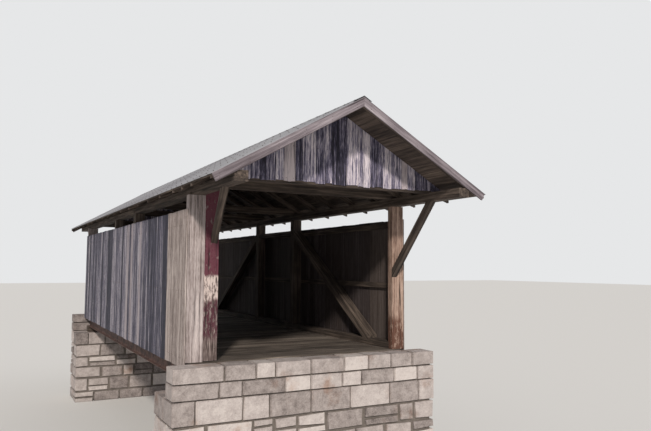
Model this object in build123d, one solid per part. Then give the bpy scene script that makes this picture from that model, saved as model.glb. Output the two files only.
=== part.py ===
from build123d import *
from math import atan, ceil, cos, degrees, hypot, radians, sin, tan
import os

# A single-lane timber covered bridge of one span, with queen-post trusses behind board siding,
# a tin roof that reaches far past both portals, and rusted steel beams put in under the deck.
# X runs across the roadway, Y along it, Z up. The origin is at the middle of the plan,
# on the level where the two stone abutments stand. All sizes are in millimetres.

# Overall sizes of the house of the bridge
wall_length = 10970
wall_width = 4170
end_overhang = 1945
gable_setout = 1150
eave_overhang = 260
roof_pitch = 29.5

# Stone abutments
abutment_height = 2000
abutment_side_reach = 300
bearing_seat_length = 600
backwall_thickness = 450
backwall_gap = 40
face_batter = 140

# Timber sleepers and steel beams
sleeper_height = 150
sleeper_width = 300
sleeper_setback = 200
beam_depth = 260
beam_flange = 150
beam_flange_thickness = 11
beam_web_thickness = 8
beam_root_radius = 12
beam_end_gap = 30
inner_beam_count = 2
siding_lap_on_beam = 20

# Deck and truss timbers
deck_thickness = 80
chord_width = 200
chord_height = 120
plate_height = 150
plate_clear_height = 2738
left_post_width = 275
right_post_width = 250
portal_post_depth = 130
queen_post_depth = 200
queen_post_setback = 4350
brace_depth = 150
brace_foot_gap = 706
brace_toe = 50
straining_beam_height = 110
truss_head_drop = 250
knee_width = 100
knee_depth = 110
knee_run = 1120
knee_rise = 1236
tie_width = 100
tie_height = 150

# Joints between the timbers
timber_gap = 0.3
housing_depth = 15
brace_notch = 30
tenon_thickness = 50
tenon_length = 60
tenon_shoulder = 30
tie_cog = 15
rafter_heel = 41.5
edge_tolerance = 0.1

# Siding and the strips that carry it
siding_thickness = 25
siding_height = 2512
end_board_run = 1150
board_joint = 6
girt_thickness = 50
girt_height = 100
girt_edge = 60

# Roof
rafter_width = 50
rafter_depth = 100
rafter_tail_depth = 40
rafter_spacing = 950
roof_board_thickness = 25
metal_thickness = 3
metal_lip = 20
metal_rib_pitch = 305
metal_rib_width = 40
metal_rib_height = 14
ridge_cap_width = 150
ridge_cap_thickness = 3
gable_board_thickness = 25
barge_thickness = 25
barge_depth = 120

# Plank with old paint beside the front left post, and the knee brace that lands on it
painted_board_width = 235
painted_board_thickness = 50
leaning_knee_inset = 155
leaning_knee_rise = 700

# Levels and planes worked out from the sizes above
half_length = wall_length / 2
half_width = wall_width / 2
beam_bottom = abutment_height + sleeper_height
beam_top = beam_bottom + beam_depth
siding_bottom = beam_top - siding_lap_on_beam
siding_top = siding_bottom + siding_height
deck_top = beam_top + deck_thickness
chord_top = deck_top + chord_height
plate_bottom = siding_bottom + plate_clear_height
plate_top = plate_bottom + plate_height
truss_outside = half_width - siding_thickness - girt_thickness
truss_inside = truss_outside - chord_width
truss_middle = truss_outside - chord_width / 2
truss_head = plate_bottom - truss_head_drop
post_outside = half_width - siding_thickness
post_back = half_length - portal_post_depth
queen_middle = half_length - queen_post_setback
queen_face = queen_middle + queen_post_depth / 2
queen_back = queen_middle - queen_post_depth / 2
brace_foot = post_back - brace_foot_gap
brace_head = queen_face - housing_depth
brace_pitch = atan((truss_head - chord_top - brace_toe) / (brace_foot - brace_head))
knee_pitch = atan(knee_rise / knee_run)
roof_end = half_length + end_overhang
gable_face = half_length + gable_setout
barge_plane = roof_end - barge_thickness
slope = radians(roof_pitch)
eave_x = half_width + eave_overhang
tail_x = eave_x - metal_lip
roof_skin = metal_thickness + roof_board_thickness
rafter_top_drop = roof_skin / cos(slope)
rafter_bottom_drop = (roof_skin + rafter_depth) / cos(slope)
ridge_level = plate_top - rafter_heel + truss_outside * tan(slope) + rafter_bottom_drop


def span_box(x0, x1, y0, y1, z0, z1):
    """A squared timber or slab given by its faces."""
    middle = ((x0 + x1) / 2, (y0 + y1) / 2, (z0 + z1) / 2)
    return Pos(*middle) * Box(x1 - x0, y1 - y0, z1 - z0)


def cut_across(points, x0, x1):
    """A profile drawn in the plane along the bridge, as (y, z), run from x0 to x1."""
    face = Face(Wire.make_polygon([Vector(x0, y, z) for y, z in points], close=True))
    return Solid.extrude(face, Vector(x1 - x0, 0, 0))


def cut_along(points, y0, y1):
    """A profile drawn across the bridge, as (x, z), run from y0 to y1."""
    face = Face(Wire.make_polygon([Vector(x, y0, z) for x, z in points], close=True))
    return Solid.extrude(face, Vector(0, y1 - y0, 0))


def mirrored_side(shape):
    return mirror(shape, about=Plane.YZ)


def mirrored_end(shape):
    return mirror(shape, about=Plane.XZ)


def roof_top_at(x):
    """Height of the metal's upper face at a distance x from the ridge line."""
    return ridge_level - abs(x) * tan(slope)


def board_top_at(x):
    return roof_top_at(x) - metal_thickness / cos(slope)


def rafter_top_at(x):
    return roof_top_at(x) - rafter_top_drop


def rafter_under_at(x):
    return roof_top_at(x) - rafter_bottom_drop


def make_abutment():
    """Masonry block with a battered face, a bearing seat and a back wall up to the deck."""
    inner_face = half_length - bearing_seat_length
    backwall_face = half_length + backwall_gap
    back = backwall_face + backwall_thickness
    outline = [
        (inner_face - face_batter, 0),
        (back, 0),
        (back, deck_top),
        (backwall_face, deck_top),
        (backwall_face, abutment_height),
        (inner_face, abutment_height),
    ]
    reach = half_width + abutment_side_reach
    return cut_across(outline, -reach, reach)


def make_sleeper():
    middle = half_length - sleeper_setback
    return span_box(-truss_outside, truss_outside, middle - sleeper_width / 2,
                    middle + sleeper_width / 2, abutment_height, beam_bottom)


def make_beam(x):
    """A rolled steel beam: two flanges and a web with rounded roots."""
    half_flange = beam_flange / 2
    half_web = beam_web_thickness / 2
    low = beam_bottom + beam_flange_thickness
    high = beam_top - beam_flange_thickness
    outline = [
        (x - half_flange, beam_bottom), (x + half_flange, beam_bottom),
        (x + half_flange, low), (x + half_web, low),
        (x + half_web, high), (x + half_flange, high),
        (x + half_flange, beam_top), (x - half_flange, beam_top),
        (x - half_flange, high), (x - half_web, high),
        (x - half_web, low), (x - half_flange, low),
    ]
    reach = half_length - beam_end_gap
    beam = cut_along(outline, -reach, reach)
    roots = [edge for edge in beam.edges().filter_by(Axis.Y)
             if abs(abs(edge.center().X - x) - half_web) < edge_tolerance]
    return beam.fillet(beam_root_radius, roots)


def make_deck():
    return span_box(-truss_outside, truss_outside, -half_length, half_length, beam_top, deck_top)


def brace_top_at(y):
    return chord_top + brace_toe + (brace_foot - y) * tan(brace_pitch)


def brace_outline(spare):
    """Side of the main brace, grown by a clearance to draw the notches that take it."""
    drop = (brace_depth + spare) / cos(brace_pitch)
    top_lift = spare / cos(brace_pitch) - timber_gap
    heel = brace_foot - (drop - brace_toe) / tan(brace_pitch)
    foot = brace_foot + spare
    head = brace_head - spare
    return [
        (foot, chord_top - brace_notch - spare), (foot, brace_top_at(foot) + top_lift),
        (head, brace_top_at(head) + top_lift), (head, brace_top_at(head) - drop), (heel, chord_top),
    ]


def knee_outline(spare):
    """Side of the knee brace, let into the post and the plate."""
    lift = (knee_depth / 2 + spare) / cos(knee_pitch)
    foot = half_length - housing_depth - spare
    foot_level = plate_bottom - knee_rise - (housing_depth + spare) * tan(knee_pitch)
    top = plate_bottom + housing_depth + spare
    low_head = foot + (top - foot_level + lift) / tan(knee_pitch)
    high_head = foot + (top - foot_level - lift) / tan(knee_pitch)
    return [(foot, foot_level - lift), (foot, foot_level + lift), (high_head, top), (low_head, top)]


def brace_notch_cutter():
    return cut_across(brace_outline(timber_gap), truss_inside - timber_gap, truss_outside + timber_gap)


def knee_housing_cutter():
    far_side = truss_inside + knee_width + timber_gap
    return cut_across(knee_outline(timber_gap), truss_inside - timber_gap, far_side)


def leaning_knee(spare):
    """Knee brace that leans from the painted plank out to the plate, drawn for the rear right corner."""
    foot_x = post_outside - left_post_width - leaning_knee_inset
    head_x = truss_inside + knee_width / 2
    length = hypot(head_x - foot_x, knee_run)
    pitch = atan(leaning_knee_rise / length)
    lift = (knee_depth / 2 + spare) / cos(pitch)
    over = 2 * knee_depth
    low, high = -over * tan(pitch), leaning_knee_rise + over * tan(pitch)
    outline = [(-over, low - lift), (length + over, high - lift),
               (length + over, high + lift), (-over, low + lift)]
    half = knee_width / 2 + spare
    turn = -degrees(atan((head_x - foot_x) / knee_run))
    place = Pos(foot_x, half_length, plate_bottom - leaning_knee_rise) * Rot(0, 0, turn)
    trimmed = span_box(0, half_width, half_length - housing_depth - spare, roof_end,
                       deck_top, plate_bottom + housing_depth + spare)
    return (place * cut_across(outline, -half, half)) & trimmed


def straining_box(spare):
    reach = queen_back + housing_depth - timber_gap + spare
    return span_box(truss_inside - spare, truss_outside + spare, -reach, reach,
                    truss_head - straining_beam_height - spare, truss_head + spare)


def chord_box(spare):
    reach = post_back + housing_depth - timber_gap + spare
    return span_box(truss_inside - spare, truss_outside + spare, -reach, reach, deck_top, chord_top + spare)


def tenon(x, y0, y1, z0, z1, spare):
    """Tenon across the middle of a post, or its mortise when grown by a clearance."""
    half = tenon_thickness / 2 + spare
    return span_box(x - half, x + half, y0 + tenon_shoulder - spare, y1 - tenon_shoulder + spare, z0, z1)


def post_tenons(spare):
    """Tenons at the heads of the rear right posts."""
    top = plate_bottom + tenon_length + spare
    return [tenon(truss_middle, post_back, half_length, plate_bottom, top, spare),
            tenon(truss_middle, queen_back, queen_face, plate_bottom, top, spare)]


def queen_foot_tenon(spare):
    return tenon(truss_middle, queen_back, queen_face, chord_top - tenon_length - spare, chord_top, spare)


def make_chord():
    """Bottom chord of the right-hand truss, notched for the braces and mortised for the posts."""
    chord = chord_box(0)
    for cutter in (brace_notch_cutter(), queen_foot_tenon(timber_gap)):
        chord = chord - cutter - mirrored_end(cutter)
    return chord


def make_portal_post(width):
    """Rear right corner post, tenoned to the plate and housed for the chord."""
    post = span_box(post_outside - width, post_outside, post_back, half_length, deck_top, plate_bottom)
    return post + post_tenons(0)[0] - chord_box(timber_gap)


def make_queen_post():
    """Rear right queen post, tenoned at both ends and notched for the brace and the straining beam."""
    post = span_box(truss_inside, truss_outside, queen_back, queen_face, chord_top, plate_bottom)
    post = post - brace_notch_cutter() - straining_box(timber_gap)
    return post + post_tenons(0)[1] + queen_foot_tenon(0)


def make_main_brace():
    """Rear right main brace, from its notch in the chord up to the head of the queen post."""
    return cut_across(brace_outline(0), truss_inside, truss_outside)


def make_straining_beam():
    return straining_box(0)


def make_plate(front_knee):
    """Top plate that runs past both portals to the verges, housed for a knee brace at either end."""
    reach = barge_plane - timber_gap
    plate = span_box(truss_inside, truss_outside, -reach, reach, plate_bottom, plate_top)
    for cutter in post_tenons(timber_gap):
        plate = plate - cutter - mirrored_end(cutter)
    return plate - knee_housing_cutter() - mirrored_end(front_knee)


def make_knee():
    """Rear right knee brace, from the face of the portal post out to the plate."""
    return cut_across(knee_outline(0), truss_inside, truss_inside + knee_width)


def tie_planes():
    """Middle of the tie beams over the queen posts, over the portal posts and behind the gables."""
    portal = half_length - portal_post_depth / 2
    gable = gable_face - gable_board_thickness - tie_width / 2 - timber_gap
    return (queen_middle, portal, gable)


def make_ties():
    """Tie beams cogged over the plates, with their ends trimmed under the roof boards."""
    top = plate_top + tie_height - tie_cog
    cog = truss_inside - timber_gap
    full = (ridge_level - rafter_top_drop - timber_gap - top) / tan(slope)
    end_level = rafter_top_at(truss_outside) - timber_gap
    right = [(0, plate_top - tie_cog), (cog, plate_top - tie_cog), (cog, plate_top),
             (truss_outside, plate_top), (truss_outside, end_level), (full, top)]
    outline = right + [(-x, z) for x, z in reversed(right[1:])]
    ties = [cut_along(outline, y - tie_width / 2, y + tie_width / 2) for y in tie_planes()]
    return ties + [mirrored_end(tie) for tie in ties]


def make_rafter(y):
    """Right-hand rafter: plumb cut at the ridge, seat cut over the plate, tapered tail."""
    near = timber_gap / 2
    seat_end = truss_outside - rafter_heel / tan(slope)
    outline = [
        (near, rafter_under_at(near)), (seat_end, plate_top), (truss_outside, plate_top),
        (truss_outside, rafter_under_at(truss_outside)), (tail_x, rafter_top_at(tail_x) - rafter_tail_depth),
        (tail_x, rafter_top_at(tail_x)), (near, rafter_top_at(near)),
    ]
    return cut_along(outline, y - rafter_width / 2, y + rafter_width / 2)


def rafter_planes():
    """Rafters stand beside each tie beam and at the verges, with others evenly between."""
    beside_tie = tie_width / 2 + rafter_width / 2 + timber_gap
    queen, portal, gable = tie_planes()
    verge = barge_plane - rafter_width / 2 - timber_gap
    fixed = [queen + beside_tie, portal + beside_tie, gable - beside_tie, verge]
    fixed = [-y for y in reversed(fixed)] + fixed
    planes = [fixed[0]]
    for start, end in zip(fixed, fixed[1:]):
        bays = ceil((end - start) / rafter_spacing)
        planes += [start + (end - start) * step / bays for step in range(1, bays + 1)]
    return planes


def make_rafters():
    return [make_rafter(y) for y in rafter_planes()]


def make_roof_boards():
    """Right-hand roof boarding, as one sheet under the metal."""
    near = timber_gap / 2
    outline = [(near, rafter_top_at(near)), (tail_x, rafter_top_at(tail_x)), (tail_x, board_top_at(tail_x)),
               (near, board_top_at(near))]
    return cut_along(outline, -barge_plane, barge_plane)


def metal_profile():
    """Top of the ribbed sheets seen from the eave: place along the eave against height."""
    half_rib = metal_rib_width / 2
    top = []
    rib_count = int((2 * roof_end - metal_rib_width) / metal_rib_pitch) + 1
    first = -metal_rib_pitch * (rib_count - 1) / 2
    for index in range(rib_count):
        y = first + index * metal_rib_pitch
        top += [(y - half_rib, 0), (y, metal_rib_height), (y + half_rib, 0)]
    return top


def make_metal():
    """Right-hand slope of ribbed metal sheet."""
    profile = metal_profile()
    over = [(-roof_end, 0)] + profile + [(roof_end, 0)]
    under = [(y, height - metal_thickness) for y, height in reversed(over)]
    origin = Vector(eave_x, 0, roof_top_at(eave_x))
    up = Vector(sin(slope), 0, cos(slope))
    uphill = Vector(-cos(slope), 0, sin(slope))
    run = eave_x / cos(slope) - timber_gap / 2
    points = [origin + Vector(0, y, 0) + up * height for y, height in over + under]
    face = Face(Wire.make_polygon(points, close=True))
    sheet = Solid.extrude(face, uphill * run)
    past_ridge = span_box(-half_width, timber_gap / 2, -2 * roof_end, 2 * roof_end,
                          ridge_level - half_width, ridge_level + half_width)
    return sheet - past_ridge


def make_ridge_cap():
    """Folded metal cap that rides on the ribs at the ridge."""
    lift = (metal_rib_height + timber_gap) / cos(slope)
    wall = ridge_cap_thickness / cos(slope)
    edge = ridge_cap_width * cos(slope)
    peak = ridge_level + lift
    outline = [
        (-edge, peak - edge * tan(slope)), (0, peak), (edge, peak - edge * tan(slope)),
        (edge, peak - edge * tan(slope) + wall), (0, peak + wall), (-edge, peak - edge * tan(slope) + wall),
    ]
    return cut_along(outline, -roof_end, roof_end)


def make_gable_wall():
    """Rear gable wall: upright boards from the plates up to the roof boards."""
    level = plate_top + timber_gap
    corner = (half_width, rafter_top_at(half_width) - timber_gap)
    outline = [(-half_width, level), (half_width, level), corner, (0, rafter_top_at(0) - timber_gap),
               (-corner[0], corner[1])]
    return cut_along(outline, gable_face - gable_board_thickness, gable_face)


def make_barge_boards():
    """Rear pair of barge boards under the metal, square-cut at the lower ends."""
    near = timber_gap / 2
    high = board_top_at(near)
    low = board_top_at(tail_x)
    square_cut = (tail_x - barge_depth * sin(slope), low - barge_depth * cos(slope))
    outline = [(near, high), (tail_x, low), square_cut, (near, high - barge_depth / cos(slope))]
    right = cut_along(outline, barge_plane, roof_end)
    return [right, mirrored_side(right)]


def make_siding():
    """Right-hand siding between the end panels."""
    reach = half_length - end_board_run - board_joint
    return span_box(post_outside, half_width, -reach, reach, siding_bottom, siding_top)


def make_end_boards():
    """Right-hand end panels of siding, beside both portals."""
    inner = half_length - end_board_run
    rear = span_box(post_outside, half_width, inner, half_length, siding_bottom, siding_top)
    return [mirrored_end(rear), rear]


def make_girts():
    """Right-hand strips between the truss and the siding, from post to post."""
    reach = post_back - timber_gap
    lowest = siding_bottom + girt_edge
    highest = siding_top - girt_edge - girt_height
    levels = (lowest, (lowest + highest) / 2, highest)
    return [span_box(truss_outside, post_outside, -reach, reach, level, level + girt_height)
            for level in levels]


def make_painted_board():
    """Plank with old paint, from the deck up to the portal tie beam, drawn for the rear right corner."""
    edge = post_outside - left_post_width - timber_gap
    board = span_box(edge - painted_board_width, edge, half_length - painted_board_thickness, half_length,
                     deck_top, plate_top - tie_cog - timber_gap)
    return board - leaning_knee(timber_gap)


def joined(solids):
    return Compound(children=list(solids))


def build_parts():
    parts = {}
    abutment = make_abutment()
    sleeper = make_sleeper()
    parts["abutment_rear"] = abutment
    parts["abutment_front"] = mirrored_end(abutment)
    parts["sleepers"] = joined([sleeper, mirrored_end(sleeper)])
    parts["steel_beam_right"] = make_beam(truss_middle)
    parts["steel_beam_left"] = make_beam(-truss_middle)
    inner_step = 2 * truss_middle / (inner_beam_count + 1)
    inner_places = [-truss_middle + inner_step * (index + 1) for index in range(inner_beam_count)]
    parts["steel_beams_inner"] = joined(make_beam(x) for x in inner_places)
    parts["deck"] = make_deck()
    straining_beam = make_straining_beam()
    parts["straining_beams"] = joined([straining_beam, mirrored_side(straining_beam)])
    sides = {
        "bottom_chord": make_chord(),
        "roof_boards": make_roof_boards(),
        "roof_metal": make_metal(),
        "siding": make_siding(),
    }
    for name, right in sides.items():
        parts[name + "_right"] = right
        parts[name + "_left"] = mirrored_side(right)
    housing = knee_housing_cutter()
    parts["top_plate_right"] = make_plate(housing)
    parts["top_plate_left"] = mirrored_side(make_plate(leaning_knee(timber_gap)))
    left_post = make_portal_post(left_post_width)
    queen_post = make_queen_post()
    main_brace = make_main_brace()
    corners = {
        "portal_post": (make_portal_post(right_post_width) - housing, left_post - housing),
        "queen_post": (queen_post, queen_post),
        "main_brace": (main_brace, main_brace),
    }
    for name, (right, left) in corners.items():
        parts[name + "_rear_right"] = right
        parts[name + "_front_right"] = mirrored_end(right)
        parts[name + "_rear_left"] = mirrored_side(left)
        parts[name + "_front_left"] = mirrored_side(mirrored_end(left))
    # The front left knee brace lands on the painted plank, so the post beside it has no housing.
    parts["portal_post_front_left"] = mirrored_side(mirrored_end(left_post))
    groups = {
        "rafters": make_rafters(),
        "siding_girts": make_girts(),
        "end_boards": make_end_boards(),
    }
    for name, right in groups.items():
        parts[name + "_right"] = joined(right)
        parts[name + "_left"] = joined(mirrored_side(piece) for piece in right)
    knee = make_knee()
    parts["knee_braces_rear"] = joined([knee, mirrored_side(knee)])
    parts["knee_braces_front"] = joined([mirrored_end(knee), mirrored_side(mirrored_end(leaning_knee(0)))])
    barge_boards = make_barge_boards()
    parts["barge_boards_rear"] = joined(barge_boards)
    parts["barge_boards_front"] = joined(mirrored_end(board) for board in barge_boards)
    gable = make_gable_wall()
    parts["gable_wall_rear"] = gable
    parts["gable_wall_front"] = mirrored_end(gable)
    parts["tie_beams"] = joined(make_ties())
    parts["ridge_cap"] = make_ridge_cap()
    parts["painted_board"] = mirrored_side(mirrored_end(make_painted_board()))
    return parts


os.makedirs("parts", exist_ok=True)
for name, shape in build_parts().items():
    export_step(shape, "parts/" + name + ".step")
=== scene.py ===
import bpy
import functools
import itertools
import math
import random
from mathutils import Matrix, Vector, noise


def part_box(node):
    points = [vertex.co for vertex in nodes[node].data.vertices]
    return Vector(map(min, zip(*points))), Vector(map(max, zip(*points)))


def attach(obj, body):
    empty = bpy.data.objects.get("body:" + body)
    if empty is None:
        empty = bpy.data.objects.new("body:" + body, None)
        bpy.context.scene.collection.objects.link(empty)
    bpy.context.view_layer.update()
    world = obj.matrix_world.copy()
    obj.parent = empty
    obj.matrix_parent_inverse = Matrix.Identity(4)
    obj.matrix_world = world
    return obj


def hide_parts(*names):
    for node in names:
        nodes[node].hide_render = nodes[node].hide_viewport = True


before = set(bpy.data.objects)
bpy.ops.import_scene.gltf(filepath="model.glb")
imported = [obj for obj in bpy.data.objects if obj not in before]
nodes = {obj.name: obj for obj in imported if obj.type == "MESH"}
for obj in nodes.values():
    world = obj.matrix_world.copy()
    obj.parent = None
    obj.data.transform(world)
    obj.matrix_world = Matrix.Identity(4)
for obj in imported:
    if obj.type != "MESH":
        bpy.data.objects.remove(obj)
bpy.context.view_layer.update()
scene = bpy.context.scene
body = "root"
nearly = 0.001  # metres; corners closer than this are in one place
sides = (("left", -1), ("right", 1))
print("frame loaded:", len(nodes), "nodes")


# A setting is a property of the node, or what one of its sockets gets: a value, a node or a socket.
# Sockets go by their names or by their places.
def addNode(tree, kind, settings):
    node = tree.nodes.new(kind)
    for name, value in settings.items():
        if isinstance(name, str) and name in node.bl_rna.properties:
            setattr(node, name, value)
        elif isinstance(value, bpy.types.Node):
            tree.links.new(value.outputs[0], node.inputs[name])
        elif isinstance(value, bpy.types.NodeSocket):
            tree.links.new(value, node.inputs[name])
        else:
            node.inputs[name].default_value = value
    return node


def linearColour(hexText):
    channels = [int(hexText[i:i + 2], 16) / 255 for i in (1, 3, 5)]
    linear = [c / 12.92 if c <= 0.04045 else ((c + 0.055) / 1.055) ** 2.4 for c in channels]
    return (*linear, 1.0)


def fillRamp(node, stops):
    ramp = node.color_ramp
    while len(ramp.elements) < len(stops):
        ramp.elements.new(0.5)
    for element, (place, colour) in zip(ramp.elements, stops):
        element.position = place
        element.color = linearColour(colour) if isinstance(colour, str) else (colour, colour, colour, 1)
    return node


# Empties the tree of a material or world, and gives what adds nodes to it
def emptied(owner):
    owner.use_nodes = True
    owner.node_tree.nodes.clear()
    return functools.partial(addNode, owner.node_tree)


def newMaterial(name):
    material = bpy.data.materials.new(name)
    return material, emptied(material)


# A bump is its strength and its depth in metres
def finishMaterial(add, colour, height, bump, **surface):
    strength, depth = bump
    relief = add("ShaderNodeBump", {"Strength": strength, "Distance": depth, "Height": height})
    shader = add("ShaderNodeBsdfPrincipled", {**surface, "Base Color": colour, "Normal": relief})
    add("ShaderNodeOutputMaterial", {"Surface": shader})


# Settings that several nodes share
smoothly = {"interpolation_type": "SMOOTHSTEP"}
multiplied = {"data_type": "RGBA", "blend_type": "MULTIPLY"}


def addObject(name, data):
    item = bpy.data.objects.new(name, data)
    scene.collection.objects.link(item)
    return item


def placeTransform(origin, xAxis, yAxis, zAxis):
    turn = Matrix((xAxis, yAxis, zAxis)).transposed().to_4x4()
    return Matrix.Translation(origin) @ turn


def cornersOf(nodeName):
    return [v.co for v in nodes[nodeName].data.vertices]


# Weathered and sawn timber. Every wood here is one graph with its own look, because each is
# pine or oak with the grain along the piece; only colour, wear and grain direction differ.

roofAngle = math.radians(29.5)
quarterTurn = math.pi / 2
slopeTurn = quarterTurn - roofAngle
grainAlong = (quarterTurn, 0, 0)
grainAcross = (0, -quarterTurn, 0)


def leanOf(nodeName):
    low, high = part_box(nodeName)
    return math.atan2(high.z - low.z, high.y - low.y)


# What a look doesn't state. A share is how much that layer moves the tone, and a stretch is how
# many times longer than wide its marks are.
plainWood = {
    "lift": 0.4, "boardShare": 0.0, "turn": (0, 0, 0), "leftTurn": None, "mirrorAxis": None,
    "fibreMm": 5, "fibreStretch": 40, "fibreShare": 0.35,
    "streakMm": 38, "streakStretch": 26, "streakShare": 0.9,
    "patchMm": 420, "patchStretch": 2.2, "patchShare": 0.5,
    "checkMm": 17, "checkStretch": 55, "checkFrom": 0.30, "checkFade": 0.07, "checkDark": 0.25,
    "tan": None, "tanShare": 0.0, "tanMix": 0.55,
    "stains": (), "foldStains": False, "flakeMm": 34, "flakeStretch": 3.5, "flakeEdge": 0.03,
    "perBoard": (13.7, 29.3, 71.9), "perSide": (5.1, 3.3, 8.7),
    "bump": (0.5, 0.003), "surface": {"Roughness": 0.85, "IOR": 1.5, "Specular IOR Level": 0.3}}


def woodMaterial(name, **changes):
    look = dict(plainWood, **changes)
    material, add = newMaterial(name)
    place = add("ShaderNodeTexCoord", {}).outputs["Object"]
    axes = add("ShaderNodeSeparateXYZ", {0: place}).outputs
    boardTone = add("ShaderNodeAttribute", {"attribute_name": "tone"}).outputs["Fac"]
    mirror = look["mirrorAxis"]
    if mirror is not None:  # the two slopes or ends share one node, so their grain is mirrored
        folded = dict(enumerate(axes))
        folded[mirror] = add("ShaderNodeMath", {"operation": "ABSOLUTE", 0: axes[mirror]})
        place = add("ShaderNodeCombineXYZ", folded)
    grain = add("ShaderNodeMapping", {"Rotation": look["turn"], "Vector": place})
    if look["leftTurn"]:  # the timber of this node that stands left of the middle runs its own way
        other = add("ShaderNodeMapping", {"Rotation": look["leftTurn"], "Vector": place})
        isLeft = add("ShaderNodeMath", {"operation": "LESS_THAN", 0: axes["X"], 1: 0.0})
        grain = add("ShaderNodeMix", {"data_type": "VECTOR", 0: isLeft, 4: grain, 5: other}).outputs[1]
    shifts = [(look["perBoard"], boardTone)]
    if mirror is not None:
        side = add("ShaderNodeMath", {"operation": "SIGN", 0: axes[mirror]})
        shifts.append((look["perSide"], side))
    for shift, share in shifts:
        apart = add("ShaderNodeVectorMath", {"operation": "SCALE", 0: shift, "Scale": share})
        grain = add("ShaderNodeVectorMath", {"operation": "ADD", 0: grain, 1: apart})

    def layer(mark, detail, roughness=0.6):
        squeezed = add("ShaderNodeVectorMath", {
            "operation": "MULTIPLY", 0: grain, 1: (1, 1, 1 / look[mark + "Stretch"])})
        return add("ShaderNodeTexNoise", {
            "Scale": 1000 / look[mark + "Mm"], "Detail": detail, "Roughness": roughness, "Vector": squeezed})

    fibre = layer("fibre", 3)
    streak = layer("streak", 4)
    patch = layer("patch", 3)
    check = layer("check", 2, 0.45)

    # tone = board + streak + patch + fibre, then one ramp from dark to light
    total = add("ShaderNodeMath", {
        "operation": "MULTIPLY_ADD", 0: boardTone, 1: look["boardShare"], 2: look["lift"]})
    for mark, share in ((streak, "streakShare"), (patch, "patchShare"), (fibre, "fibreShare")):
        centred = add("ShaderNodeMath", {"operation": "SUBTRACT", 0: mark, 1: 0.5})
        total = add("ShaderNodeMath", {"operation": "MULTIPLY_ADD", 0: centred, 1: 2 * look[share], 2: total})
    colour = fillRamp(add("ShaderNodeValToRGB", {0: total}), look["tones"])

    if look["tan"]:  # a few boards are younger and still tan
        chosen = add("ShaderNodeMath", {"operation": "GREATER_THAN", 0: boardTone, 1: 1 - look["tanShare"]})
        amount = add("ShaderNodeMath", {"operation": "MULTIPLY", 0: chosen, 1: look["tanMix"]})
        colour = add("ShaderNodeMix", {
            "data_type": "RGBA", 0: amount, 6: colour, 7: linearColour(look["tan"])}).outputs[2]

    # a stain or coat starts between two levels of one axis; loss is how much of it has come off
    for axis, low, high, stain, share, wander, loss in look["stains"]:
        distance = axes[axis]
        if look["foldStains"]:
            distance = add("ShaderNodeMath", {"operation": "ABSOLUTE", 0: distance})
        distance = add("ShaderNodeMath", {"operation": "MULTIPLY_ADD", 0: streak, 1: wander, 2: distance})
        band = add("ShaderNodeMapRange", {**smoothly, 0: distance, 1: low, 2: high, 3: 0.0, 4: share})
        if loss:
            edge = look["flakeEdge"]
            kept = add("ShaderNodeMapRange", {0: layer("flake", 5, 0.7), 1: loss - edge, 2: loss + edge})
            band = add("ShaderNodeMath", {"operation": "MULTIPLY", 0: band, 1: kept})
        colour = add("ShaderNodeMix", {
            "data_type": "RGBA", 0: band, 6: colour, 7: linearColour(stain)}).outputs[2]

    # drying checks: thin dark lines that follow the grain
    crack = fillRamp(add("ShaderNodeValToRGB", {0: check}), (
        (look["checkFrom"], look["checkDark"]), (look["checkFrom"] + look["checkFade"], 1.0)))
    colour = add("ShaderNodeMix", {**multiplied, 0: 1.0, 6: colour, 7: crack}).outputs[2]
    height = add("ShaderNodeMath", {"operation": "MULTIPLY_ADD", 0: fibre, 1: 0.5, 2: streak})
    height = add("ShaderNodeMath", {"operation": "ADD", 0: height, 1: crack})
    finishMaterial(add, colour, height, look["bump"], **look["surface"])
    return material


# Pine boards, planed once and greyed by decades of sun and rain: silver-violet, dark in the streaks.
# Their inner faces never saw rain and stay brown, and are painted darker still as shade of the covered
# inside.
innerBrownAndShade = {"foldStains": True, "stains": ((0, 2.0725, 2.0715, "#453b36", 0.85, 0.0, 0),)}
greySiding = woodMaterial(
    "weathered_pine_siding",
    tones=((0.0, "#292933"), (0.3, "#3f3e4c"), (0.55, "#585666"), (0.8, "#7f7b89"), (1.0, "#bfb8bd")),
    lift=-0.06, boardShare=0.85, streakShare=1.9, streakMm=24, streakStretch=60, patchShare=0.35,
    fibreShare=0.8, fibreMm=7, fibreStretch=26, tan="#a3989a", tanShare=0.04, **innerBrownAndShade)
tanBoards = woodMaterial(
    "weathered_pine_corner_boards",
    tones=((0.0, "#584c49"), (0.4, "#968a85"), (0.7, "#bdb0ab"), (1.0, "#d8ccc6")),
    lift=0.38, boardShare=0.35, streakShare=1.1, streakMm=26, streakStretch=60,
    fibreShare=0.7, fibreMm=7, fibreStretch=14, **innerBrownAndShade)
gableBoards = woodMaterial(
    "weathered_pine_gable",
    tones=((0.0, "#2c2a35"), (0.28, "#4e4b5f"), (0.5, "#7a7589"), (0.72, "#aaa3b2"), (1.0, "#e2d8dd")),
    lift=0.18, boardShare=0.7, streakShare=1.15, streakMm=24, streakStretch=30, patchShare=0.7,
    fibreShare=0.9, fibreMm=8, fibreStretch=14, checkFrom=0.32, tan="#b9aba9", tanShare=0.12)
bargeWood = woodMaterial(
    "weathered_pine_barge",
    tones=((0.0, "#453d41"), (0.4, "#797075"), (0.7, "#9c9398"), (1.0, "#bfb6ba")),
    lift=0.45, streakStretch=50, fibreShare=0.5, mirrorAxis=0, turn=(0, slopeTurn, 0))
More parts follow.
